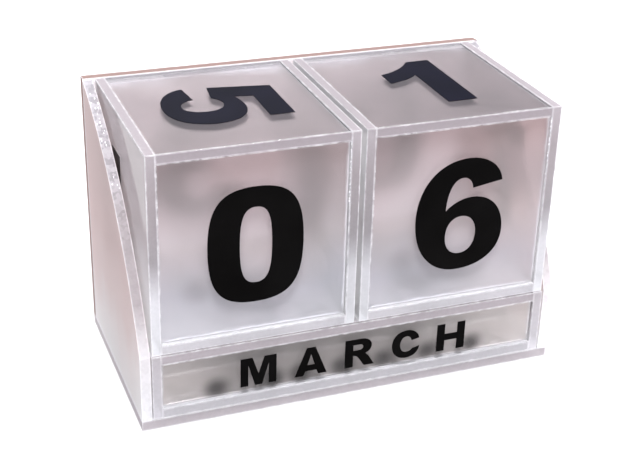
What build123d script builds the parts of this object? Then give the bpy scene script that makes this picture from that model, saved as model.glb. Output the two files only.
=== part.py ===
from build123d import *
import os

# Desk calendar of clear acrylic sheet: an open stand that holds three month
# bars side by side, with two numbered day cubes standing on top of the bars.
# Millimetres. The origin is the middle of the base's underside, the front of
# the calendar faces -Y and +Z is up.

# ---------------------------------------------------------------- dimensions
STAND_SHEET = 2.5        # sheet thickness of the stand
CUBE_SIZE = 50.0         # outside edge of a day cube
CUBE_WALL = 2.3          # sheet thickness of the cubes
CUBE_GAP = 1.3           # between the two cubes
CUBE_SIDE_GAP = 0.5      # cube to side plate
CUBE_REAR_GAP = 0.6      # cube to back plate
BAR_SIZE = 16.8          # square section of a month bar
BAR_WALL = 2.3           # sheet thickness of the bars
BAR_END_GAP = 0.3        # bar end to side plate
BAR_UNDER_GAP = 0.1      # bar to base, bridged by the vinyl letters
BAR_GAP = 0.2            # bar to bar, and bar to cube
BAR_EDGE_GAP = 0.15      # front bar behind the front edge, rear bar off the back plate
VINYL = 0.08             # thickness of the cut vinyl digits and letters
DIGIT_HEIGHT = 28.7      # flat-topped digits on the cubes
LETTER_HEIGHT = 7.7      # capitals on the bars
LETTER_GAP = 4.7         # clear space between letters of a short month
WORD_WIDTH = 90.0        # longest word on a bar
SWEEP_RISE = 28.0        # height of the side plate's arc above the bars, at SWEEP_IN
SWEEP_IN = 18.4          # distance of that point behind the front edge
APEX_DROP = 0.4          # top of the side plate's arc below the back plate's top

TRAY_WIDTH = 2 * CUBE_SIZE + CUBE_GAP + 2 * CUBE_SIDE_GAP
TRAY_DEPTH = 3 * BAR_SIZE + 2 * BAR_GAP + 2 * BAR_EDGE_GAP
WIDTH = TRAY_WIDTH + 2 * STAND_SHEET
DEPTH = TRAY_DEPTH + STAND_SHEET
FRONT = -DEPTH / 2
BACK_PLATE_FACE = FRONT + TRAY_DEPTH
BAR_BOTTOM = STAND_SHEET + BAR_UNDER_GAP
BAR_LENGTH = TRAY_WIDTH - 2 * BAR_END_GAP
CUBE_BOTTOM = BAR_BOTTOM + BAR_SIZE + BAR_GAP
HEIGHT = CUBE_BOTTOM + CUBE_SIZE

# ----------------------------------------------------------- letters, digits
# Heavy upright capitals and digits, drawn on a grid where a capital is 100
# high. An outline is a start point and a list of legs: a point is a straight
# leg, and a (corner, end) pair is a rounded turn that bends towards corner.
CAP = 100
ROUND = 0.60             # how far a rounded turn reaches towards its corner
SQUARISH = 0.74          # the same for the tall squarish zero


def outline(start, *legs, reach=ROUND):
    edges = []
    here = Vector(*start)
    for leg in legs + (start,):
        if isinstance(leg[0], tuple):
            corner, end = Vector(*leg[0]), Vector(*leg[1])
            first = here + (corner - here) * reach
            second = end + (corner - end) * reach
            edges.append(Bezier(here, first, second, end))
        else:
            end = Vector(*leg)
            if (end - here).length > 0:
                edges.append(Line(here, end))
        here = end
    return make_face(edges)


def oval(x, y, half_width, half_height, reach=ROUND):
    left, right = x - half_width, x + half_width
    low, high = y - half_height, y + half_height
    turns = [((left, high), (x, high)), ((right, high), (right, y)),
             ((right, low), (x, low)), ((left, low), (left, y))]
    return outline((left, y), *turns, reach=reach)


def bar(left, low, right, high):
    return outline((left, low), (right, low), (right, high), (left, high))


def digit_0():
    return oval(40, 50, 40, 51, SQUARISH) - oval(40, 50, 13.5, 33.5, SQUARISH)


def digit_1():
    return outline((29, 0), (55.5, 0), (55.5, 100), (34, 100),
                   ((22, 80), (0, 75)), (0, 53.5), ((20, 57), (29, 68)))


def digit_2():
    return outline((0, 0), (79, 0), (79, 22), (38, 22),
                   ((44, 29), (58, 39)), ((78, 53), (78, 71)),
                   ((78, 101), (41, 101)), ((4, 101), (3, 67)), (29, 64.5),
                   ((30, 84), (40, 84)), ((52, 84), (52, 71)),
                   ((52, 61), (33, 48)), ((2, 27), (0, 0)))


def digit_3():
    return outline((3, 74), ((6, 101), (39, 101)), ((75, 101), (75, 75)),
                   ((75, 60), (60, 54)), ((81, 50), (81, 29)),
                   ((81, -1), (40, -1)), ((4, -1), (0, 27)), (26, 30),
                   ((28, 16), (40, 16)), ((54, 16), (54, 30)),
                   ((54, 44), (41, 44)), (31, 42), (32, 62),
                   ((50, 60), (50, 73)), ((50, 84), (39, 84)),
                   ((29, 84), (28, 70)))


def digit_4():
    body = outline((46, 0), (72, 0), (72, 19), (84, 19), (84, 40), (72, 40),
                   (72, 101), (48, 101), (0, 42), (0, 19), (46, 19))
    return body - outline((46, 40), (46, 72), (20, 40))


def digit_5():
    return outline((10.8, 100), (75.7, 100), (75.7, 79), (30, 79), (27.6, 63.2),
                   ((36, 66.7), (48, 66.7)), ((81, 66.7), (81, 33.5)),
                   ((81, -1), (42.6, -1)), ((5, -1), (0, 25.8)), (26.2, 28.3),
                   ((28, 15), (40.8, 15)), ((54.8, 15), (54.8, 32.8)),
                   ((54.8, 50.6), (39, 50.6)), ((31, 50.6), (25.9, 43.9)),
                   (2.4, 46.8))


def digit_6():
    body = outline((77.8, 77.8), ((74, 101), (45.7, 101)), ((0, 101), (0, 49)),
                   ((0, -1), (40.5, -1)), ((81, -1), (81, 31.8)),
                   ((81, 65.3), (51, 65.3)), ((36, 65.3), (27.2, 54.8)),
                   ((27.5, 83.8), (41.5, 83.8)), ((50, 83.8), (51, 73.6)))
    return body - oval(42.2, 31.4, 14.1, 17.4)


def digit_7():
    return outline((2, 100), (78, 100), (78, 82), ((44, 50), (40, 0)), (12, 0),
                   ((15, 46), (48, 78)), (2, 78))


def digit_8():
    rings = oval(40, 74.5, 36.5, 26.5) + oval(40, 29.5, 40, 30.5)
    return rings - oval(40, 75, 12, 10.5) - oval(40, 30, 13.5, 13.5)


def letter_a():
    body = outline((0, 0), (29, 0), (34.5, 16), (72.5, 16), (78, 0), (107, 0),
                   (68, 100), (39, 100))
    return body - outline((41, 37), (66, 37), (53.5, 76))


def letter_b():
    body = outline((0, 0), (52, 0), ((93, 0), (93, 28)), ((93, 47), (76, 53)),
                   ((89, 59), (89, 75)), ((89, 100), (54, 100)), (0, 100))
    upper = outline((28, 62), (48, 62), ((60, 62), (60, 71)), ((60, 80), (48, 80)), (28, 80))
    lower = outline((28, 20), (50, 20), ((64, 20), (64, 31.5)), ((64, 43), (50, 43)), (28, 43))
    return body - upper - lower


def letter_c():
    return outline((95, 67), ((90, 101), (50, 101)), ((0, 101), (0, 50)),
                   ((0, -1), (51, -1)), ((92, -1), (97, 37)), (70, 30),
                   ((67, 21), (51, 21)), ((29, 21), (29, 50)),
                   ((29, 79), (50, 79)), ((65, 79), (68, 61)))


def letter_d():
    body = outline((0, 0), (44, 0), ((95, 0), (95, 50)), ((95, 100), (44, 100)), (0, 100))
    hole = outline((28, 22), (40, 22), ((66, 22), (66, 50)), ((66, 78), (40, 78)), (28, 78))
    return body - hole


def letter_e():
    return bar(0, 0, 28, 100) + bar(0, 0, 87, 21) + bar(0, 40, 79, 60) + bar(0, 79, 85, 100)


def letter_f():
    return bar(0, 0, 28, 100) + bar(0, 39, 72, 60) + bar(0, 79, 81, 100)


def letter_g():
    return outline((97, 68), ((92, 101), (52, 101)), ((0, 101), (0, 50)),
                   ((0, -1), (53, -1)), ((80, -1), (103, 14)), (103, 56),
                   (53, 56), (53, 36), (77, 36), (77, 26), ((66, 21), (55, 21)),
                   ((29, 21), (29, 50)), ((29, 79), (53, 79)),
                   ((67, 79), (69, 63)))


def letter_h():
    return bar(0, 0, 28, 100) + bar(72, 0, 100, 100) + bar(20, 38, 80, 62)


def letter_i():
    return bar(0, 0, 28, 100)


def letter_j():
    return outline((54, 100), (82, 100), (82, 38), ((82, -1), (40, -1)),
                   ((0, -1), (0, 37)), (26, 41), ((26, 21), (40, 21)),
                   ((54, 21), (54, 38)))


def letter_l():
    return bar(0, 0, 28, 100) + bar(0, 0, 83, 23)


def letter_m():
    return outline((0, 0), (0, 100), (39, 100), (58.5, 40), (78, 100), (117, 100),
                   (117, 0), (92, 0), (92, 74), (70, 0), (47, 0), (25, 74), (25, 0))


def letter_n():
    return outline((0, 0), (0, 100), (27, 100), (75, 40), (75, 100), (102, 100),
                   (102, 0), (75, 0), (27, 60), (27, 0))


def letter_o():
    return oval(52, 50, 52, 51) - oval(52, 50, 23.5, 30)


def letter_p():
    body = outline((0, 0), (28, 0), (28, 36), (50, 36), ((91, 36), (91, 68)),
                   ((91, 100), (50, 100)), (0, 100))
    return body - outline((28, 57), (46, 57), ((61, 57), (61, 68.5)), ((61, 80), (46, 80)), (28, 80))


def letter_r():
    body = outline((0, 0), (28, 0), (28, 40), (32, 40), ((41, 40), (48, 28)),
                   (66, 0), (101, 0), (83, 30), ((77, 41), (68, 45)),
                   ((91, 50), (91, 72)), ((91, 100), (54, 100)), (0, 100))
    return body - outline((28, 59), (48, 59), ((62, 59), (62, 69.5)), ((62, 80), (48, 80)), (28, 80))


def letter_s():
    return outline((0, 31), (27, 33), ((29, 19), (46, 19)), ((61, 19), (61, 28)),
                   ((61, 37), (40, 41)), ((3, 48), (3, 71)), ((3, 101), (44, 101)),
                   ((83, 101), (86, 70)), (60, 68.5), ((58, 82), (42, 82)),
                   ((28, 82), (28, 73)), ((28, 67), (46, 63)), ((89, 54), (89, 30)),
                   ((89, -1), (46, -1)), ((3, -1), (0, 31)))


def letter_t():
    return bar(34, 0, 62, 100) + bar(0, 76, 96, 100)


def letter_u():
    return outline((0, 100), (0, 38), ((0, -1), (50, -1)), ((100, -1), (100, 38)),
                   (100, 100), (72, 100), (72, 38), ((72, 21), (50, 21)),
                   ((28, 21), (28, 38)), (28, 100))


def letter_v():
    return outline((0, 100), (29, 100), (54, 28), (79, 100), (108, 100), (70, 0), (38, 0))


def letter_y():
    return outline((0, 100), (31, 100), (53.5, 62), (76, 100), (107, 100), (68, 42),
                   (68, 0), (39, 0), (39, 42))


DIGITS = {"zero": digit_0, "one": digit_1, "two": digit_2, "three": digit_3,
          "four": digit_4, "five": digit_5, "six": digit_6, "seven": digit_7,
          "eight": digit_8}
LETTERS = {"a": letter_a, "b": letter_b, "c": letter_c, "d": letter_d,
           "e": letter_e, "f": letter_f, "g": letter_g, "h": letter_h,
           "i": letter_i, "j": letter_j, "l": letter_l, "m": letter_m,
           "n": letter_n, "o": letter_o, "p": letter_p, "r": letter_r,
           "s": letter_s, "t": letter_t, "u": letter_u, "v": letter_v,
           "y": letter_y}

# Directions seen from the front of the calendar.
LEFT, RIGHT = Vector(-1, 0, 0), Vector(1, 0, 0)
TOWARDS, AWAY = Vector(0, -1, 0), Vector(0, 1, 0)
UP, DOWN = Vector(0, 0, 1), Vector(0, 0, -1)

# Each digit of a cube: the face it is stuck on, and where its top points.
TENS_DIGITS = {"zero": (TOWARDS, UP), "five": (UP, RIGHT), "one": (LEFT, DOWN),
               "two": (RIGHT, UP), "three": (AWAY, UP), "four": (DOWN, TOWARDS)}
UNITS_DIGITS = {"six": (TOWARDS, UP), "one": (UP, AWAY), "zero": (AWAY, UP),
                "two": (LEFT, UP), "seven": (RIGHT, UP), "eight": (DOWN, TOWARDS)}

# The four months of a bar, rolled forward one face at a time.
FACE_ROLL = [(TOWARDS, UP), (UP, AWAY), (AWAY, DOWN), (DOWN, TOWARDS)]
FRONT_BAR_MONTHS = ["march", "april", "january", "february"]
MIDDLE_BAR_MONTHS = ["may", "june", "july", "august"]
REAR_BAR_MONTHS = ["september", "october", "november", "december"]


# ------------------------------------------------------------------- helpers
def slab(x, y, z):
    """Box given by its (low, high) limits along each axis."""
    size = [high - low for low, high in (x, y, z)]
    middle = [(low + high) / 2 for low, high in (x, y, z)]
    return Pos(*middle) * Box(*size)


def inset(limits, wall):
    return limits[0] + wall, limits[1] - wall


def face_plane(centre, half_size, normal, up):
    """Plane on the face of a square block, its y axis along up."""
    return Plane(origin=centre + normal * half_size, x_dir=up.cross(normal), z_dir=normal)


def digit_decal(name, plane):
    sketch = scale(DIGITS[name](), DIGIT_HEIGHT / CAP)
    box = sketch.bounding_box()
    sketch = Pos(-(box.min.X + box.max.X) / 2, -DIGIT_HEIGHT / 2) * sketch
    return extrude(plane * sketch, amount=VINYL)


def word_decal(word, plane):
    glyphs = [scale(LETTERS[letter](), LETTER_HEIGHT / CAP) for letter in word]
    widths = [glyph.bounding_box().max.X for glyph in glyphs]
    spare = WORD_WIDTH - sum(widths)
    gap = min(LETTER_GAP, spare / (len(word) - 1))
    left = -(sum(widths) + gap * (len(word) - 1)) / 2
    letters = []
    for glyph, width in zip(glyphs, widths):
        placed = plane * (Pos(left, -LETTER_HEIGHT / 2) * glyph)
        letters += extrude(placed, amount=VINYL).solids()
        left += width + gap
    return Compound(children=letters)


# -------------------------------------------------------------------- pieces
def stand():
    """Base, upright back plate and the two swept side plates."""
    half = WIDTH / 2
    full_depth = (FRONT, FRONT + DEPTH)
    parts = {"base_plate": slab((-half, half), full_depth, (0, STAND_SHEET))}
    parts["back_plate"] = slab((-half, half), (BACK_PLATE_FACE, FRONT + DEPTH), (STAND_SHEET, HEIGHT))
    step = CUBE_BOTTOM
    via = (FRONT + SWEEP_IN, step + SWEEP_RISE)
    apex = (BACK_PLATE_FACE, HEIGHT - APEX_DROP)
    corners = [(FRONT, step), (FRONT, STAND_SHEET), (BACK_PLATE_FACE, STAND_SHEET), apex]
    arc = ThreePointArc(apex, via, corners[0])
    profile = make_face([Polyline(*corners), arc])
    for name, side in (("left_side_plate", -half), ("right_side_plate", half - STAND_SHEET)):
        plane = Plane(origin=(side, 0, 0), x_dir=(0, 1, 0), z_dir=(1, 0, 0))
        parts[name] = extrude(plane * profile, amount=STAND_SHEET)
    return parts


def cube(name, left, digits):
    """Hollow cube: full side panels, top and bottom between them, then front and back."""
    x = (left, left + CUBE_SIZE)
    rear = BACK_PLATE_FACE - CUBE_REAR_GAP
    y = (rear - CUBE_SIZE, rear)
    z = (CUBE_BOTTOM, CUBE_BOTTOM + CUBE_SIZE)
    inner_x, inner_y, inner_z = (inset(limits, CUBE_WALL) for limits in (x, y, z))
    parts = {
        f"{name}_left_panel": slab((x[0], inner_x[0]), y, z),
        f"{name}_right_panel": slab((inner_x[1], x[1]), y, z),
        f"{name}_bottom_panel": slab(inner_x, y, (z[0], inner_z[0])),
        f"{name}_top_panel": slab(inner_x, y, (inner_z[1], z[1])),
        f"{name}_front_panel": slab(inner_x, (y[0], inner_y[0]), inner_z),
        f"{name}_back_panel": slab(inner_x, (inner_y[1], y[1]), inner_z),
    }
    centre = Vector(sum(x) / 2, sum(y) / 2, sum(z) / 2)
    for digit, (normal, up) in digits.items():
        plane = face_plane(centre, CUBE_SIZE / 2, normal, up)
        parts[f"{name}_digit_{digit}"] = digit_decal(digit, plane)
    return parts


def month_bar(name, place, months):
    """Hollow square bar, place counted from the front, with a month on each long face."""
    x = (-BAR_LENGTH / 2, BAR_LENGTH / 2)
    front = FRONT + BAR_EDGE_GAP + place * (BAR_SIZE + BAR_GAP)
    y = (front, front + BAR_SIZE)
    z = (BAR_BOTTOM, BAR_BOTTOM + BAR_SIZE)
    inner_x, inner_y, inner_z = (inset(limits, BAR_WALL) for limits in (x, y, z))
    parts = {
        f"{name}_left_cap": slab((x[0], inner_x[0]), y, z),
        f"{name}_right_cap": slab((inner_x[1], x[1]), y, z),
        f"{name}_bottom_panel": slab(inner_x, y, (z[0], inner_z[0])),
        f"{name}_top_panel": slab(inner_x, y, (inner_z[1], z[1])),
        f"{name}_front_panel": slab(inner_x, (y[0], inner_y[0]), inner_z),
        f"{name}_back_panel": slab(inner_x, (inner_y[1], y[1]), inner_z),
    }
    centre = Vector(0, sum(y) / 2, sum(z) / 2)
    for month, (normal, up) in zip(months, FACE_ROLL):
        plane = face_plane(centre, BAR_SIZE / 2, normal, up)
        parts[f"month_{month}"] = word_decal(month, plane)
    return parts


def calendar():
    parts = stand()
    parts |= cube("tens_cube", -CUBE_GAP / 2 - CUBE_SIZE, TENS_DIGITS)
    parts |= cube("units_cube", CUBE_GAP / 2, UNITS_DIGITS)
    parts |= month_bar("front_bar", 0, FRONT_BAR_MONTHS)
    parts |= month_bar("middle_bar", 1, MIDDLE_BAR_MONTHS)
    parts |= month_bar("rear_bar", 2, REAR_BAR_MONTHS)
    return parts


os.makedirs("parts", exist_ok=True)
for node, shape in calendar().items():
    export_step(shape, f"parts/{node}.step")
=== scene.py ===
import math
import random

import bmesh
import bpy
from mathutils import Matrix, Vector


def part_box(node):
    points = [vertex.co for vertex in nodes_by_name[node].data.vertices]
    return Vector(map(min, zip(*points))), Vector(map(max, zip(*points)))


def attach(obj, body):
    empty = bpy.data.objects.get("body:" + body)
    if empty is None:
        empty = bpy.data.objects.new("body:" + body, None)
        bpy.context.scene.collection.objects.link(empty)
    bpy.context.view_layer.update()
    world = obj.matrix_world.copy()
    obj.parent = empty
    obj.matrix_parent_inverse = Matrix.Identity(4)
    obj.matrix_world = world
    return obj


MM = 0.001
ACRYLIC_IOR = 1.49

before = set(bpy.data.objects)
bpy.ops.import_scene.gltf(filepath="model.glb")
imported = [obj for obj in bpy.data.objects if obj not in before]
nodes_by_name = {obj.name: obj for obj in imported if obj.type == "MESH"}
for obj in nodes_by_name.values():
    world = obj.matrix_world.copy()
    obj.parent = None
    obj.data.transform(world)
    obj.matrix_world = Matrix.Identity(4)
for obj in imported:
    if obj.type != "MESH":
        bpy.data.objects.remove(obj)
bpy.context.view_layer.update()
scene = bpy.context.scene


# ------------------------------------------------------------ node shorthand
class Tree:
    """Short calls for building a material's or the world's node tree."""

    def __init__(self, owner):
        owner.use_nodes = True
        self.tree = owner.node_tree
        self.tree.nodes.clear()

    def add(self, kind, inputs=None, **settings):
        made = self.tree.nodes.new(kind)
        for key, value in settings.items():
            setattr(made, key, value)
        for key, value in (inputs or {}).items():
            self.feed(made.inputs[key], value)
        return made

    def feed(self, socket, value):
        if isinstance(value, bpy.types.NodeSocket):
            self.tree.links.new(value, socket)
        elif isinstance(value, bpy.types.Node):
            self.tree.links.new(value.outputs[0], socket)
        else:
            socket.default_value = value

    def math(self, operation, *values):
        made = self.add("ShaderNodeMath", operation=operation)
        for place, value in enumerate(values):
            self.feed(made.inputs[place], value)
        return made.outputs[0]

    def mix(self, factor, first, second):
        return self.add("ShaderNodeMixShader", {0: factor, 1: first, 2: second}).outputs[0]

    def blend(self, factor, first, second, how="MIX"):
        made = self.add("ShaderNodeMix", data_type="RGBA", blend_type=how)
        self.feed(made.inputs[0], factor)
        self.feed(made.inputs[6], first)
        self.feed(made.inputs[7], second)
        return made.outputs[2]

    def ramp(self, factor, *stops):
        made = self.add("ShaderNodeValToRGB", {0: factor})
        band = made.color_ramp
        while len(band.elements) < len(stops):
            band.elements.new(0.5)
        for element, (place, colour) in zip(band.elements, stops):
            element.position = place
            element.color = (*colour, 1)
        return made.outputs[0]

    def noise(self, vector, scale, detail=2.0, roughness=0.5):
        made = self.add("ShaderNodeTexNoise", {"Vector": vector, "Scale": scale,
                                               "Detail": detail, "Roughness": roughness})
        return made.outputs[0]

    def finish(self, shader):
        self.add("ShaderNodeOutputMaterial", {0: shader})


def grey(value):
    return (value, value, value, 1.0)


# ------------------------------------------------------------------ materials
# A sheet's material knows its faces from the generated coordinate across the
# sheet, which is 0 on one face and 1 on the other, and in between on the cut
# edges. One face is frosted, the other is clear and glossy.
FACE_TOLERANCE = 0.02
RIPPLE_DISTANCE = 0.1 * MM
ROUNDING = 0.22 * MM
ARRIS_WIDTH = 0.6 * MM
CEMENT_TONE = (0.96, 0.95, 0.98, 1)
ARRIS_WEAR_AND_HIGHLIGHT_TONE = (0.84, 0.82, 0.85, 1)
WARM_FROM, WARM_TO = 12 * MM, 48 * MM

SHADE = (0.30, 0.26, 0.27)
DEEP_SHADE = (0.07, 0.06, 0.06)
WARM_LIGHT = (1.0, 0.95, 0.93)


def milky(t, translucent, colour, **inputs):
    """A diffuse layer that also lets the given share of its light through."""
    return t.mix(translucent, t.add("ShaderNodeBsdfDiffuse", {"Color": colour, **inputs}),
                 t.add("ShaderNodeBsdfTranslucent", {"Color": colour, **inputs}))


# Painted warm light: the tone is warmed towards the right.
def painted_warm_light_to_the_right(t, tone, position, painted_warm_light):
    right = t.add("ShaderNodeSeparateXYZ", {0: position}).outputs[0]
    painted_warmth = t.add("ShaderNodeMapRange", {"Value": right, "From Min": WARM_FROM, "From Max": WARM_TO,
                                          "To Min": 0.0, "To Max": 1.0},
                   interpolation_type="SMOOTHSTEP").outputs[0]
    return t.blend(1.0, tone, t.blend(painted_warmth, grey(1.0), (*painted_warm_light, 1)), "MULTIPLY")


# Painted shade: the tone is darkened across the middle of the sheet and lifted towards either end.
def painted_shade_in_the_middle(t, tone, width, drift, middle):
    off_middle = t.math("ABSOLUTE", t.math("SUBTRACT", width, 0.42))
    lift = t.add("ShaderNodeMapRange", {"Value": t.math("MULTIPLY_ADD", drift, 0.12, off_middle),
                                        "From Min": 0.26, "From Max": 0.46,
                                        "To Min": middle, "To Max": 1.0},
                 interpolation_type="SMOOTHSTEP").outputs[0]
    return t.blend(1.0, tone, lift, "MULTIPLY")


def paler_borders(t, tone, position, width, along, seam):
    """Cement creeping in from the joints leaves the borders paler."""
    creep = t.noise(position, 300.0, 3.0, 0.6)
    border = [t.math("DIVIDE", t.math("MINIMUM", g, t.math("SUBTRACT", 1.0, g)), size)
              for g, size in ((width, seam[0]), (along, seam[1]))]
    cement = t.add("ShaderNodeMapRange", {"Value": t.math("MINIMUM", *border), "From Min": 0.0,
                                          "From Max": t.math("MULTIPLY_ADD", creep, 1.6, 0.1),
                                          "To Min": 0.85, "To Max": 0.0}).outputs[0]
    return t.blend(cement, tone, CEMENT_TONE)


def painted_shade_patch(t, tone, width, along, place, size, depth, shade):
    """A soft dark oval of painted shade, standing in for shadows and for dark things seen dimly through the
    frosting.
    """
    aside = t.math("DIVIDE", t.math("SUBTRACT", width, place[0]), size[0])
    above = t.math("DIVIDE", t.math("SUBTRACT", along, place[1]), size[1])
    squares = t.math("ADD", t.math("POWER", aside, 2.0), t.math("POWER", above, 2.0))
    dim = t.add("ShaderNodeMapRange", {"Value": t.math("POWER", squares, 0.5),
                                       "From Min": 0.0, "From Max": 1.0,
                                       "To Min": depth, "To Max": 0.0},
                interpolation_type="SMOOTHERSTEP").outputs[0]
    return t.blend(dim, tone, (*shade, 1))


def arris_wear_and_painted_highlight(t, position):
    """How much of a thin, broken, pale line shows where two faces of a sheet meet: partly a worn, chipped
    edge, partly a painted highlight where the rounded edge catches the light.
    """
    facing = t.add("ShaderNodeNewGeometry").outputs["Normal"]
    worn = t.add("ShaderNodeBevel", {"Radius": ARRIS_WIDTH}, samples=4)
    level = t.add("ShaderNodeVectorMath", {0: facing, 1: worn}, operation="DOT_PRODUCT").outputs["Value"]
    broken = t.noise(position, 420.0, 3.0, 0.6)
    return t.add("ShaderNodeMapRange", {"Value": level, "From Min": 0.99, "From Max": 0.90, "To Min": 0.0,
                                        "To Max": t.math("MULTIPLY_ADD", broken, 2.2, -0.55)}).outputs[0]


def saw_marks(t, position, up, chipped_facets_and_glints):
    """The grain of a sawn edge, chipped towards its upper end, where each chip is painted a random
    brightness: partly the chipped surface, partly painted glints.
    """
    saw = t.noise(position, 1400.0, 3.0, 0.7)
    if not chipped_facets_and_glints:
        return saw
    cell = t.add("ShaderNodeTexVoronoi", {"Vector": position, "Scale": 1100.0, "Randomness": 1.0})
    shine = t.add("ShaderNodeSeparateColor", {0: cell.outputs["Color"]}).outputs[0]
    reach = t.add("ShaderNodeMapRange", {"Value": up, "From Min": 0.55, "From Max": 0.85,
                                         "To Min": 0.15, "To Max": chipped_facets_and_glints}).outputs[0]
    saw = t.add("ShaderNodeMix", {0: reach, 2: saw, 3: t.math("MULTIPLY_ADD", shine, 3.2, -1.6)},
                data_type="FLOAT", clamp_result=False).outputs[0]
    return t.math("MINIMUM", t.math("MAXIMUM", saw, -0.7), 0.6)


def sheet_material(name, axis, frosted_end, frost_tone_and_painted_shade, edge, haze=0.40, rough=0.22, body=0.95, passing=0.96,
                   edge_haze=0.55, outer_frost=0.0, chipped_facets_and_glints=0.0, seam=(0.018, 0.018),
                   painted_warm_light=None, painted_middle_shade=None, painted_shade_patches=(), shade=SHADE):
    """Acrylic sheet: axis is its thin direction, frosted_end which face is frosted.

    The two tone ramps are those of the frosted face and of the cut edges: the sheet's own
    pale tone with painted light and shade ramping along it. body and passing tell how much of the
    frosting's tone scatters and how much goes through, haze its milkiness.
    """
    mat = bpy.data.materials.new(name)
    t = Tree(mat)
    where = t.add("ShaderNodeTexCoord")
    generated = t.add("ShaderNodeSeparateXYZ", {0: where.outputs["Generated"]}).outputs
    across = generated[axis]
    along = generated[1] if axis == 2 else generated[2]
    width = generated[1] if axis == 0 else generated[0]
    frosted = t.math("COMPARE", across, frosted_end, FACE_TOLERANCE)
    clear = t.math("COMPARE", across, 1.0 - frosted_end, FACE_TOLERANCE)
    position = where.outputs["Object"]

    # tone of the frosted face, with painted light and shade ramping from one side of the sheet to the other
    grain = t.noise(position, 2600.0, 2.0)
    drift = t.noise(t.add("ShaderNodeMapping", {0: position, 3: (1.0, 1.0, 0.45)}), 62.0, 2.0)
    tone = t.ramp(t.math("MULTIPLY_ADD", drift, 0.34, t.math("SUBTRACT", along, 0.17)), *frost_tone_and_painted_shade)
    mottle = t.math("MULTIPLY", t.math("MULTIPLY_ADD", grain, 0.016, 0.992),
                    t.math("MULTIPLY_ADD", drift, 0.12, 0.94))
    tone = t.blend(1.0, tone, mottle, "MULTIPLY")
    if painted_warm_light:
        tone = painted_warm_light_to_the_right(t, tone, position, painted_warm_light)
    if painted_middle_shade:
        tone = painted_shade_in_the_middle(t, tone, width, drift, painted_middle_shade)
    tone = paler_borders(t, tone, position, width, along, seam)
    for place, size, depth in painted_shade_patches:
        tone = painted_shade_patch(t, tone, width, along, place, size, depth, shade)

    haze_layer = milky(t, 0.5, t.blend(1.0, tone, grey(body), "MULTIPLY"))
    through = t.blend(1.0, tone, grey(passing), "MULTIPLY")
    uneven = t.math("MULTIPLY_ADD", drift, 0.06, rough - 0.03)
    frost_glass = t.add("ShaderNodeBsdfGlass", {"Color": through, "IOR": ACRYLIC_IOR, "Roughness": uneven})
    frost = t.mix(haze, frost_glass, haze_layer)

    ripple = t.noise(position, 260.0, 1.0)
    soft_bump = t.add("ShaderNodeBump", {"Strength": 0.04, "Distance": RIPPLE_DISTANCE, "Height": ripple})
    rounded = t.add("ShaderNodeBevel", {"Radius": ROUNDING, "Normal": soft_bump}, samples=3)
    gloss = t.add("ShaderNodeBsdfGlass", {"Color": grey(0.985), "Roughness": 0.0,
                                          "IOR": ACRYLIC_IOR, "Normal": rounded})
    if outer_frost:
        gloss = t.mix(outer_frost, gloss, haze_layer)
    # painted highlight with wear: a pale milky line along the rounded edges where faces meet
    arris = arris_wear_and_painted_highlight(t, position)
    arris_wear_and_highlight_white = milky(t, 0.35, ARRIS_WEAR_AND_HIGHLIGHT_TONE)
    gloss = t.mix(arris, gloss, arris_wear_and_highlight_white)

    saw = saw_marks(t, position, generated[2], chipped_facets_and_glints)
    # the cut edges' tone, with painted light and shade ramping along the sheet
    edge_colour = t.blend(1.0, t.ramp(along, *edge), t.math("MULTIPLY_ADD", saw, 0.22, 0.88), "MULTIPLY")
    edge_bump = t.add("ShaderNodeBump", {"Strength": 0.2, "Distance": RIPPLE_DISTANCE, "Height": saw,
                                         "Normal": rounded})
    edge_glass = t.add("ShaderNodeBsdfGlass", {"Color": edge_colour, "Roughness": 0.25,
                                               "IOR": ACRYLIC_IOR, "Normal": edge_bump})
    cut = t.mix(arris, t.mix(edge_haze, edge_glass, milky(t, 0.4, edge_colour)), arris_wear_and_highlight_white)

    # lamps and bounced light pass through the sheet, less where it is frosted or cut
    seen = t.mix(frosted, t.mix(clear, cut, gloss), frost)
    letting = t.blend(frosted, t.blend(clear, grey(0.75), grey(0.96)), grey(0.75))
    lamps = t.add("ShaderNodeBsdfTransparent", {"Color": letting})
    path = t.add("ShaderNodeLightPath")
    for_light = t.math("MAXIMUM", path.outputs["Is Shadow Ray"], path.outputs["Is Diffuse Ray"])
    t.finish(t.mix(for_light, seen, lamps))
    return mat


def vinyl_material(name, dark, light):
    mat = bpy.data.materials.new(name)
    t = Tree(mat)
    position = t.add("ShaderNodeTexCoord").outputs["Object"]
    orange_peel = t.noise(position, 1500.0, 2.0)
    smudge = t.noise(position, 70.0, 3.0)
    colour = t.ramp(smudge, (0.3, dark), (0.75, light))
    rough = t.math("MULTIPLY_ADD", smudge, 0.16, 0.26)
    bump = t.add("ShaderNodeBump", {"Strength": 0.06, "Distance": 0.05 * MM, "Height": orange_peel})
    t.finish(t.add("ShaderNodeBsdfPrincipled", {
        "Base Color": colour, "Roughness": rough, "Specular IOR Level": 0.02, "Normal": bump}).outputs[0])
    return mat


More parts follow.
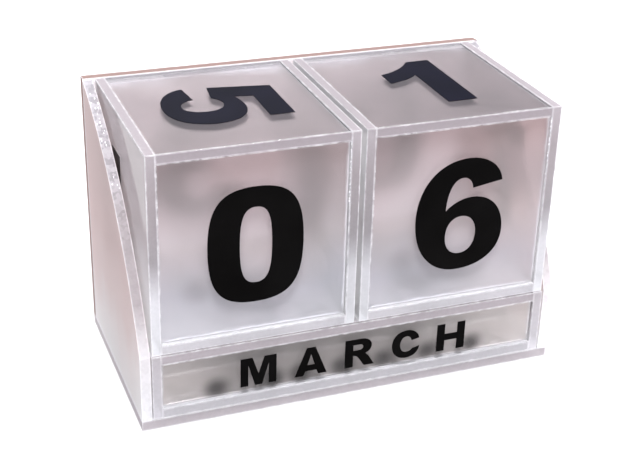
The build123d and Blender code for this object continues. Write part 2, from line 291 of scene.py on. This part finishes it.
# tones from the bottom of an upright sheet to its top, or from the front of a level
# sheet to its back: first the frosted faces, then the cut edges. Over the sheets' own pale
# pinkish tone they carry painted light and shade: most upright sheets are painted paler low
# down and darker towards the top, and INNER paints a band of shade where the two cubes meet.
UPRIGHT = ((0.0, (0.88, 0.88, 0.93)), (0.22, (0.77, 0.76, 0.83)), (0.5, (0.80, 0.72, 0.735)),
           (0.76, (0.68, 0.575, 0.59)), (0.95, (0.53, 0.415, 0.42)))
LEVEL = ((0.0, (0.47, 0.41, 0.425)), (0.5, (0.53, 0.46, 0.48)), (0.85, (0.60, 0.53, 0.55)),
         (1.0, (0.88, 0.84, 0.90)))
PALE = ((0.0, (0.90, 0.88, 0.91)), (0.5, (0.80, 0.74, 0.76)), (1.0, (0.72, 0.65, 0.67)))
LEFT = ((0.0, (1.0, 1.0, 1.0)), (0.3, (0.90, 0.87, 0.89)), (0.6, (0.55, 0.49, 0.50)),
        (1.0, (0.52, 0.46, 0.47)))
INNER = ((0.0, (1.0, 1.0, 1.0)), (0.35, (0.90, 0.89, 0.91)), (0.55, (0.66, 0.63, 0.64)),
         (0.85, (0.92, 0.91, 0.92)))
BAR = ((0.0, (0.99, 0.93, 0.91)), (0.3, (0.98, 0.905, 0.88)), (1.0, (0.99, 0.915, 0.885)))
SIDE = ((0.0, (1.0, 0.98, 0.98)), (0.13, (0.96, 0.88, 0.88)), (0.30, (0.85, 0.70, 0.69)),
        (0.5, (0.78, 0.61, 0.60)), (1.0, (0.69, 0.55, 0.54)))

CUT = ((0.0, (0.86, 0.86, 0.89)), (0.28, (0.84, 0.83, 0.87)), (0.48, (0.46, 0.43, 0.45)),
       (0.8, (0.50, 0.45, 0.47)), (1.0, (0.58, 0.53, 0.56)))
LEVEL_CUT = ((0.0, (0.50, 0.45, 0.48)), (1.0, (0.60, 0.56, 0.59)))
LOW_CUT = ((0.0, (0.80, 0.78, 0.82)), (1.0, (0.70, 0.66, 0.69)))
GLUED = ((0.0, (0.98, 0.98, 1.0)), (1.0, (0.92, 0.88, 0.91)))
BAR_LEVEL_CUT = ((0.0, (0.60, 0.55, 0.58)), (1.0, (0.66, 0.61, 0.64)))
# painted shade: the bar front's glued borders are darker towards the top, under the cubes
BAR_GLUED = ((0.0, (0.95, 0.94, 0.97)), (0.6, (0.62, 0.58, 0.60)), (1.0, (0.42, 0.38, 0.39)))
BASE_CUT = ((0.0, (0.62, 0.57, 0.60)), (1.0, (0.70, 0.65, 0.67)))
BACK_CUT = ((0.0, (0.40, 0.30, 0.28)), (1.0, (0.34, 0.24, 0.22)))
SWEEP_CUT = ((0.0, (0.98, 0.97, 1.0)), (0.26, (0.92, 0.90, 0.93)), (0.42, (0.55, 0.51, 0.53)),
             (0.68, (0.54, 0.50, 0.52)), (0.78, (0.70, 0.67, 0.71)))

# side of a box: its thin axis, and the end of that axis where the inner, frosted face is
SIDES = {"left": (0, 1.0), "right": (0, 0.0), "front": (1, 1.0), "back": (1, 0.0),
         "bottom": (2, 1.0), "top": (2, 0.0)}

# painted shade: soft dark ovals standing in for shadows and for dark things seen through the frosting, each
# its place, size and depth, across and up the sheet
PAINTED_SHADE_IN_HOLLOW = (((0.80, 0.72), (0.15, 0.42), 0.40), ((0.05, 0.95), (0.42, 0.36), 0.45),
          ((0.20, 0.27), (0.13, 0.12), 0.30))
TENS_PAINTED_SHADE = (((0.14, 0.72), (0.24, 0.30), 0.22),)
UNITS_PAINTED_SHADE = (((0.97, 0.66), (0.20, 0.34), 0.42), ((0.26, 0.13), (0.26, 0.16), 0.20))
BAR_FRONT_WIDTH = 97.0
# on the bar's front: painted shade of the letters on the bar's other faces, seen dimly through the frosting
PAINTED_SHADE_OF_LETTERS_BEHIND = tuple(((0.5 + x / BAR_FRONT_WIDTH, 0.18), (0.058, 0.40), 0.9)
                       for x in (-35, -21, -14, -3, 8, 20, 32))

cube_look = dict(rough=0.25)
cube_panel = {
    "left": sheet_material("frosted_cube_left", *SIDES["left"], LEFT, CUT, outer_frost=0.45, **cube_look),
    "right": sheet_material("frosted_cube_right", *SIDES["right"], PALE, CUT, **cube_look),
    "back": sheet_material("frosted_cube_back", *SIDES["back"], PALE, GLUED, **cube_look),
    "bottom": sheet_material("frosted_cube_bottom", *SIDES["bottom"], PALE, LOW_CUT, **cube_look),
    # painted shade: the top sheets' frosting scatters and passes less, offsetting the strong light from
    # above
    "top": sheet_material("frosted_cube_top", *SIDES["top"], LEVEL, LEVEL_CUT, body=0.34, passing=0.62,
                          **cube_look),
}
cube_front = {cube: sheet_material(f"frosted_{cube}_front", *SIDES["front"], UPRIGHT, GLUED,
                                   painted_warm_light=WARM_LIGHT, painted_shade_patches=PAINTED_SHADE_IN_HOLLOW + more, **cube_look)
              for cube, more in (("tens_cube", TENS_PAINTED_SHADE), ("units_cube", UNITS_PAINTED_SHADE))}
# painted shade: the faces where the two cubes meet get the INNER ramp's band of shade
between = {side: sheet_material(f"frosted_cube_inner_{side}", *SIDES[side], INNER, CUT, rough=0.19,
                                outer_frost=0.4)
           for side in ("left", "right")}

bar_look = dict(rough=0.19, seam=(0.010, 0.05))
bar_panel = {side: sheet_material(f"frosted_bar_{side}", *SIDES[side], PALE,
                                  BAR_LEVEL_CUT if side == "top" else LOW_CUT, **bar_look)
             for side in SIDES if side != "front"}
bar_panel["front"] = sheet_material("frosted_bar_front", *SIDES["front"], BAR, BAR_GLUED, painted_middle_shade=0.60,
                                    painted_shade_patches=PAINTED_SHADE_OF_LETTERS_BEHIND, shade=DEEP_SHADE, **bar_look)

side_look = dict(haze=0.6, body=0.95, passing=0.71, outer_frost=0.85, chipped_facets_and_glints=0.95)
stand = {
    "base_plate": sheet_material("stand_base", 2, 1.0, PALE, BASE_CUT),
    "back_plate": sheet_material("stand_back", 1, 0.0, PALE, BACK_CUT, edge_haze=0.85),
    "left_side_plate": sheet_material("stand_left", 0, 1.0, SIDE, SWEEP_CUT, **side_look),
    "right_side_plate": sheet_material("stand_right", 0, 0.0, SIDE, SWEEP_CUT, **side_look),
}

black_vinyl = vinyl_material("black_vinyl", (0.0012, 0.0010, 0.0010), (0.003, 0.0027, 0.0027))
# painted reflection: the top faces' digits are tinted navy, standing in for the bluish sky they reflect
painted_sky_sheen_vinyl = vinyl_material("painted_sky_sheen_vinyl", (0.0006, 0.0007, 0.0050), (0.0022, 0.0022, 0.0095))
PAINTED_SHEEN_DIGITS = ("tens_cube_digit_five", "units_cube_digit_one")


def material_for(name):
    if name in stand:
        return stand[name]
    if name in PAINTED_SHEEN_DIGITS:
        return painted_sky_sheen_vinyl
    if name.startswith("month_") or "_digit_" in name:
        return black_vinyl
    side = name.split("_")[-2]
    if name in ("tens_cube_right_panel", "units_cube_left_panel"):
        return between[side]
    if name.endswith("cube_front_panel"):
        return cube_front[name.removesuffix("_front_panel")]
    return (bar_panel if "_bar_" in name else cube_panel)[side]


for name, node in nodes_by_name.items():
    mat = material_for(name)
    if not node.material_slots:
        node.data.materials.append(mat)
    for slot in node.material_slots:
        slot.material = mat


# -------------------------------------------------------------- small details
# Everything below is sized and placed from the boxes of the sheets it sits on.
def cement_material():
    mat = bpy.data.materials.new("dried_cement")
    t = Tree(mat)
    position = t.add("ShaderNodeTexCoord").outputs["Object"]
    grain = t.noise(position, 1800.0, 3.0)
    colour = t.ramp(grain, (0.3, (0.90, 0.89, 0.92)), (0.7, (0.99, 0.98, 1.0)))
    bump = t.add("ShaderNodeBump", {"Strength": 0.3, "Distance": 0.1 * MM, "Height": grain})
    rough = t.math("MULTIPLY_ADD", grain, 0.2, 0.2)
    shine = t.add("ShaderNodeBsdfGlossy", {"Color": colour, "Roughness": rough, "Normal": bump})
    t.finish(t.mix(0.10, milky(t, 0.35, colour, Normal=bump), shine))
    return mat


cement = cement_material()
WAVE = 6.28
AROUND = 6.283
BEAD_STEP = 1.2 * MM
OFF_THE_FACE = 0.03 * MM


def new_piece(name, bm, body, smooth=True):
    mesh = bpy.data.meshes.new(name)
    bmesh.ops.recalc_face_normals(bm, faces=bm.faces)
    bm.to_mesh(mesh)
    bm.free()
    for face in mesh.polygons:
        face.use_smooth = smooth
    mesh.materials.append(cement)
    piece = bpy.data.objects.new(name, mesh)
    scene.collection.objects.link(piece)
    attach(piece, body)
    return piece


def bead(bm, start, end, first, second, size, rng):
    """A bead of cement in an inside corner: concave, its width wandering along the joint."""
    rows = max(6, round((end - start).length / BEAD_STEP))
    previous = None
    waves = [(rng.uniform(0.8, 3.0), rng.uniform(0, WAVE)) for _ in range(3)]
    for row in range(rows + 1):
        f = row / rows
        swell = sum(math.sin(WAVE * k * f * 3 + phase) for k, phase in waves) / 3
        reach = size * (1.0 + 0.30 * swell) * (0.35 if row in (0, rows) else 1.0)
        at = start.lerp(end, f)
        ring = [at, at + first * reach, at + (first + second) * reach * 0.30, at + second * reach]
        ring = [bm.verts.new(p) for p in ring]
        if previous:
            for k in range(4):
                bm.faces.new((previous[k], previous[(k + 1) % 4], ring[(k + 1) % 4], ring[k]))
        else:
            bm.faces.new(ring)
        previous = ring
    bm.faces.new(list(reversed(previous)))


def beads_inside(prefix, body, wall, size, seed):
    """Cement along the inside corners behind the front and back panels of a cube or bar."""
    rng = random.Random(seed)
    boxes = {side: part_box(f"{prefix}_{side}") for side in wall}
    left, right, top, bottom, front, back = (boxes[side] for side in wall)
    x0, x1 = left[1].x + OFF_THE_FACE, right[0].x - OFF_THE_FACE
    y0, y1 = front[1].y + OFF_THE_FACE, back[0].y - OFF_THE_FACE
    z0, z1 = bottom[1].z + OFF_THE_FACE, top[0].z - OFF_THE_FACE
    bm = bmesh.new()
    for y, inward in ((y0, Vector((0, 1, 0))), (y1, Vector((0, -1, 0)))):
        for z, up in ((z0, Vector((0, 0, 1))), (z1, Vector((0, 0, -1)))):
            bead(bm, Vector((x0 + size, y, z)), Vector((x1 - size, y, z)), inward, up, size, rng)
        for x, aside in ((x0, Vector((1, 0, 0))), (x1, Vector((-1, 0, 0)))):
            bead(bm, Vector((x, y, z0 + size)), Vector((x, y, z1 - size)), inward, aside, size, rng)
    return new_piece(f"{prefix}_cement_beads", bm, body)


def bubbles_in_joint(prefix, body, side, seed, count, lowest, highest):
    """Tiny air bubbles trapped in the upright joint between the front panel and a side panel."""
    rng = random.Random(seed)
    front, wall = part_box(f"{prefix}_front_panel"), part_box(f"{prefix}_{side}_panel")
    x = wall[0].x if side == "right" else wall[1].x
    y0, y1 = front[0].y + 0.30 * MM, front[0].y + 0.55 * MM
    z0, z1 = front[0].z, front[1].z
    bm = bmesh.new()
    for _ in range(count):
        f = rng.uniform(lowest, highest)
        place = Vector((x + rng.uniform(-0.08, 0.08) * MM, rng.uniform(y0, y1), z0 + (z1 - z0) * f))
        radius = rng.uniform(0.09, 0.21) * MM
        shape = Matrix.Diagonal((radius, radius * rng.uniform(0.8, 1.2), radius * rng.uniform(0.9, 1.7), 1))
        bmesh.ops.create_icosphere(bm, subdivisions=2, radius=1.0, matrix=Matrix.Translation(place) @ shape)
    return new_piece(f"{prefix}_{side}_joint_bubbles", bm, body)


def swept_edge(name):
    """The points of a side plate's swept edge on its outer face, from the front up to the back."""
    node = nodes_by_name[name]
    low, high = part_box(name)
    outer = low.x if high.x < 0 else high.x
    seen = {}
    for vertex in node.data.vertices:
        p = node.matrix_world @ vertex.co
        if abs(p.x - outer) < 0.01 * MM and p.z > low.z + 1 * MM and low.y - 1 < p.y < high.y + 1:
            seen[(round(p.y, 6), round(p.z, 6))] = p.copy()
    points = sorted(seen.values(), key=lambda p: (p.y, p.z))
    return [p for p in points if p.y > low.y + 0.1 * MM]


def chips_on_sweep(name, seed, tries=110):
    """Little flakes broken up along the upper part of the saw-cut sweep."""
    rng = random.Random(seed)
    low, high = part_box(name)
    points = swept_edge(name)
    bm = bmesh.new()
    for _ in range(tries):
        k = rng.randrange(len(points) - 1)
        a, b = points[k], points[k + 1]
        at = a.lerp(b, rng.random())
        rise = (at.z - low.z) / (high.z - low.z)
        if rise < 0.70 or rng.random() > (rise - 0.55) * 1.6 or at.y > high.y - 1.5 * MM:
            continue
        run = (b - a).normalized()
        out = Vector((0, -run.z, run.y))
        at.x = rng.uniform(low.x + 0.4 * MM, high.x - 0.4 * MM)
        count = rng.randint(4, 6)
        length, width = rng.uniform(0.15, 0.45) * MM, rng.uniform(0.08, 0.25) * MM
        tilt = rng.uniform(-0.25, 0.25)
        rim = []
        for corner in range(count):
            angle = AROUND * (corner + rng.uniform(-0.25, 0.25)) / count
            along, aside = math.cos(angle) * length, math.sin(angle) * width
            rim.append(at + run * along + Vector((aside, 0, 0)) + out * (0.04 * MM + tilt * aside))
        base = [bm.verts.new(p - out * 0.10 * MM) for p in rim]
        crest = [bm.verts.new(p.lerp(at, 0.25) + out * 0.05 * MM) for p in rim]
        bm.faces.new(crest)
        bm.faces.new(list(reversed(base)))
        for corner in range(count):
            after = (corner + 1) % count
            bm.faces.new((base[corner], base[after], crest[after], crest[corner]))
    return new_piece(f"{name}_chips", bm, "stand", smooth=False)


CUBE_WALLS = ("left_panel", "right_panel", "top_panel", "bottom_panel", "front_panel", "back_panel")
BAR_WALLS = ("left_cap", "right_cap", "top_panel", "bottom_panel", "front_panel", "back_panel")
for order, cube_name in enumerate(("tens_cube", "units_cube")):
    beads_inside(cube_name, cube_name, CUBE_WALLS, size=0.55 * MM, seed=11 + order)
    bubbles_in_joint(cube_name, cube_name, "right", seed=21 + order, count=22,
                     lowest=0.66, highest=0.99)
    bubbles_in_joint(cube_name, cube_name, "left", seed=31 + order, count=10 + 18 * order,
                     lowest=0.40, highest=0.98)
for order, bar_name in enumerate(("front_bar", "middle_bar", "rear_bar")):
    beads_inside(bar_name, bar_name, BAR_WALLS, size=0.5 * MM, seed=41 + order)
chips_on_sweep("left_side_plate", seed=51)
chips_on_sweep("right_side_plate", seed=52)


# ---------------------------------------------------------------------- stage
FLOOR_REACH = 3.0
CAMERA_AT = (-0.1090, -0.27871, 0.18105)
CAMERA_TURN = (63.463, -1.462, -20.655)
SENSOR_MM, LENS_MM = 36.0, 73.97


def make_floor():
    mesh = bpy.data.meshes.new("floor")
    bm = bmesh.new()
    bmesh.ops.create_grid(bm, x_segments=8, y_segments=8, size=FLOOR_REACH)
    bm.to_mesh(mesh)
    bm.free()
    floor = bpy.data.objects.new("floor", mesh)
    scene.collection.objects.link(floor)
    mat = bpy.data.materials.new("pale_floor")
    t = Tree(mat)
    cloud = t.noise(t.add("ShaderNodeTexCoord").outputs["Object"], 6.0, 2.0)
    colour = t.ramp(cloud, (0.3, (0.58, 0.575, 0.58)), (0.7, (0.60, 0.595, 0.60)))
    t.finish(t.add("ShaderNodeBsdfPrincipled", {"Base Color": colour, "Roughness": 0.6,
                                                "Specular IOR Level": 0.2}).outputs[0])
    floor.data.materials.append(mat)
    return floor


def soft_sun(name, towards, strength, spread, colour):
    data = bpy.data.lights.new(name, "SUN")
    data.energy = strength
    data.angle = spread
    data.color = colour
    lamp = bpy.data.objects.new(name, data)
    lamp.rotation_euler = Vector(towards).to_track_quat("Z", "Y").to_euler()
    scene.collection.objects.link(lamp)
    return lamp


def make_world(strength):
    world = bpy.data.worlds.new("studio")
    scene.world = world
    t = Tree(world)
    direction = t.add("ShaderNodeTexCoord").outputs["Generated"]
    up = t.add("ShaderNodeSeparateXYZ", {0: direction}).outputs[2]
    colour = t.ramp(t.math("MULTIPLY_ADD", up, 0.5, 0.5),
                    (0.50, (0.90, 0.89, 0.89)), (0.56, (0.58, 0.57, 0.60)), (0.68, (0.58, 0.59, 0.65)),
                    (0.95, (1.0, 1.0, 1.0)))
    background = t.add("ShaderNodeBackground", {"Color": colour, "Strength": strength})
    t.add("ShaderNodeOutputWorld", {0: background})


def make_camera():
    data = bpy.data.cameras.new("camera")
    data.sensor_width = SENSOR_MM
    data.sensor_fit = "HORIZONTAL"
    data.lens = LENS_MM
    data.clip_start = 0.01
    camera = bpy.data.objects.new("camera", data)
    camera.location = CAMERA_AT
    camera.rotation_euler = [math.radians(angle) for angle in CAMERA_TURN]
    scene.collection.objects.link(camera)
    scene.camera = camera


make_floor()
make_camera()
make_world(strength=0.98)
soft_sun("key_behind", (0.14, 0.62, 0.63), strength=2.2, spread=0.42, colour=(1.0, 0.99, 0.98))
soft_sun("overhead_front", (-0.08, -0.42, 0.77), strength=5.2, spread=0.34, colour=(0.97, 0.98, 1.0))
# light goes through many sheets before it is lost
scene.view_settings.view_transform = "Standard"
scene.cycles.max_bounces = 20
scene.cycles.transmission_bounces = 16
scene.cycles.diffuse_bounces = 6
scene.cycles.transparent_max_bounces = 24
